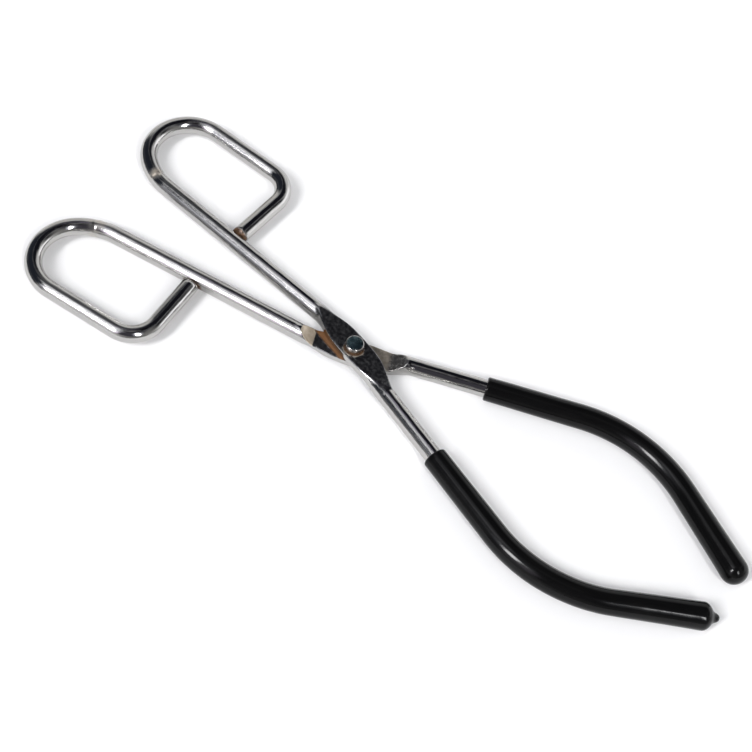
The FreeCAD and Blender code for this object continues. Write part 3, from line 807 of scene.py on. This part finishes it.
def make_light():
    """Pale surroundings low down, a dark ceiling, and cards of shade and of light over them."""
    sky = Sky()
    towards = sky.node("ShaderNodeTexCoord").outputs["Generated"]
    height = sky.node("ShaderNodeSeparateXYZ", {0: towards}).outputs[2]
    light = sky.mix(sky.step(height, 0.57, 0.94), (0.86, 0.86, 0.865), (0.80, 0.82, 0.86))
    for one in SHADES:
        light = card(sky, towards, *one, light)
    light = sky.mix(sky.step(height, 0.945, 0.985), light, (0.004, 0.004, 0.005))
    for one in LIGHTS:
        light = card(sky, towards, *one, light)
    sky.put(sky.main, "Color", light)
    sky.put(sky.main, "Strength", 1.0)

    # an even fill on the floor, too wide to cast a shadow of its own
    data = bpy.data.lights.new("fill", "SUN")
    data.energy, data.angle = 0.8, math.pi
    fill = bpy.data.objects.new("fill", data)
    fill.visible_glossy = False
    bpy.context.scene.collection.objects.link(fill)


# azimuth clockwise from +Y, elevation, width and height in degrees, softness, colour, strength
SHADES = (
    (89.0, 44.6, 81.2, 36.9, 0.51, (0.9, 0.9, 1.2), 0.018),
    (40.3, -6.0, 49.1, 54.6, 0.25, (0.99, 0.99, 1.02), 1.68),
    (127.8, 26.0, 92.2, 96.3, 0.77, (1.01, 1.0, 0.99), 0.276),
    (255.3, 12.3, 74.6, 31.2, 0.29, (0.9, 0.97, 1.13), 0.067),
    (158.8, 54.6, 68.9, 65.0, 0.32, (0.96, 0.93, 1.13), 0.071),
    (256.1, 46.9, 78.6, 44.4, 0.20, (0.8, 0.93, 1.3), 0.027),
    (356.3, 62.6, 50.3, 55.5, 0.34, (0.83, 0.9, 1.28), 0.013),
    (310.4, -4.7, 25.4, 65.0, 0.35, (1.02, 1.01, 0.97), 0.72),
    (209.7, 16.2, 9.7, 37.5, 0.12, (0.97, 0.96, 1.08), 0.28),
    (194.2, 37.0, 19.0, 30.7, 0.36, (1.01, 0.92, 1.07), 1.63),
)
LIGHTS = (
    (274.6, 71.5, 31.3, 5.1, 0.59, (0.96, 0.9, 1.14), 0.44),
    (245.7, 70.3, 19.6, 16.8, 0.64, (0.97, 1.0, 1.03), 1.07),
    (231.4, 65.4, 6.1, 17.7, 0.25, (0.99, 0.98, 1.03), 2.75),
    (206.7, 48.8, 18.7, 33.1, 0.72, (0.96, 0.98, 1.06), 1.9),
    (202.0, 46.0, 8.0, 20.0, 0.20, (1.0, 1.0, 1.0), 38.0),
    (123.0, 42.5, 13.0, 28.3, 0.80, (0.94, 0.98, 1.08), 2.0),
    (123.5, 45.0, 5.5, 19.0, 0.20, (1.0, 1.0, 1.0), 30.0),
    (0.0, 90.0, 14.0, 14.0, 0.40, (0.98, 0.98, 1.04), 0.2),
)


def make_camera():
    """A camera that looks at the rivet's head, a little off centre, from azimuth and elevation."""
    azimuth, elevation, roll = (math.radians(a) for a in (22.79, 57.21, 14.07))
    distance, lens = 0.4922, 71.51
    right_of_pivot, below_pivot = 0.00651, 0.00759
    flat = math.cos(elevation)
    back = Vector((flat * math.sin(azimuth), -flat * math.cos(azimuth), math.sin(elevation)))
    level = Vector((math.cos(azimuth), math.sin(azimuth), 0.0))
    upright = back.cross(level)
    right = level * math.cos(roll) + upright * math.sin(roll)
    up = upright * math.cos(roll) - level * math.sin(roll)
    aim = PIVOT + Vector((0.00117, 0.0, 0.0))
    place = aim + back * distance + right * right_of_pivot - up * below_pivot
    data = bpy.data.cameras.new("camera")
    data.lens, data.sensor_width = lens, 36.0
    data.clip_start, data.clip_end = 0.01, 100.0
    camera = bpy.data.objects.new("camera", data)
    turn = Matrix((right, up, back)).transposed().to_4x4()
    camera.matrix_world = Matrix.Translation(place) @ turn
    bpy.context.scene.collection.objects.link(camera)
    bpy.context.scene.camera = camera


make_floor()
make_light()
make_camera()
bpy.context.scene.view_settings.view_transform = "Standard"
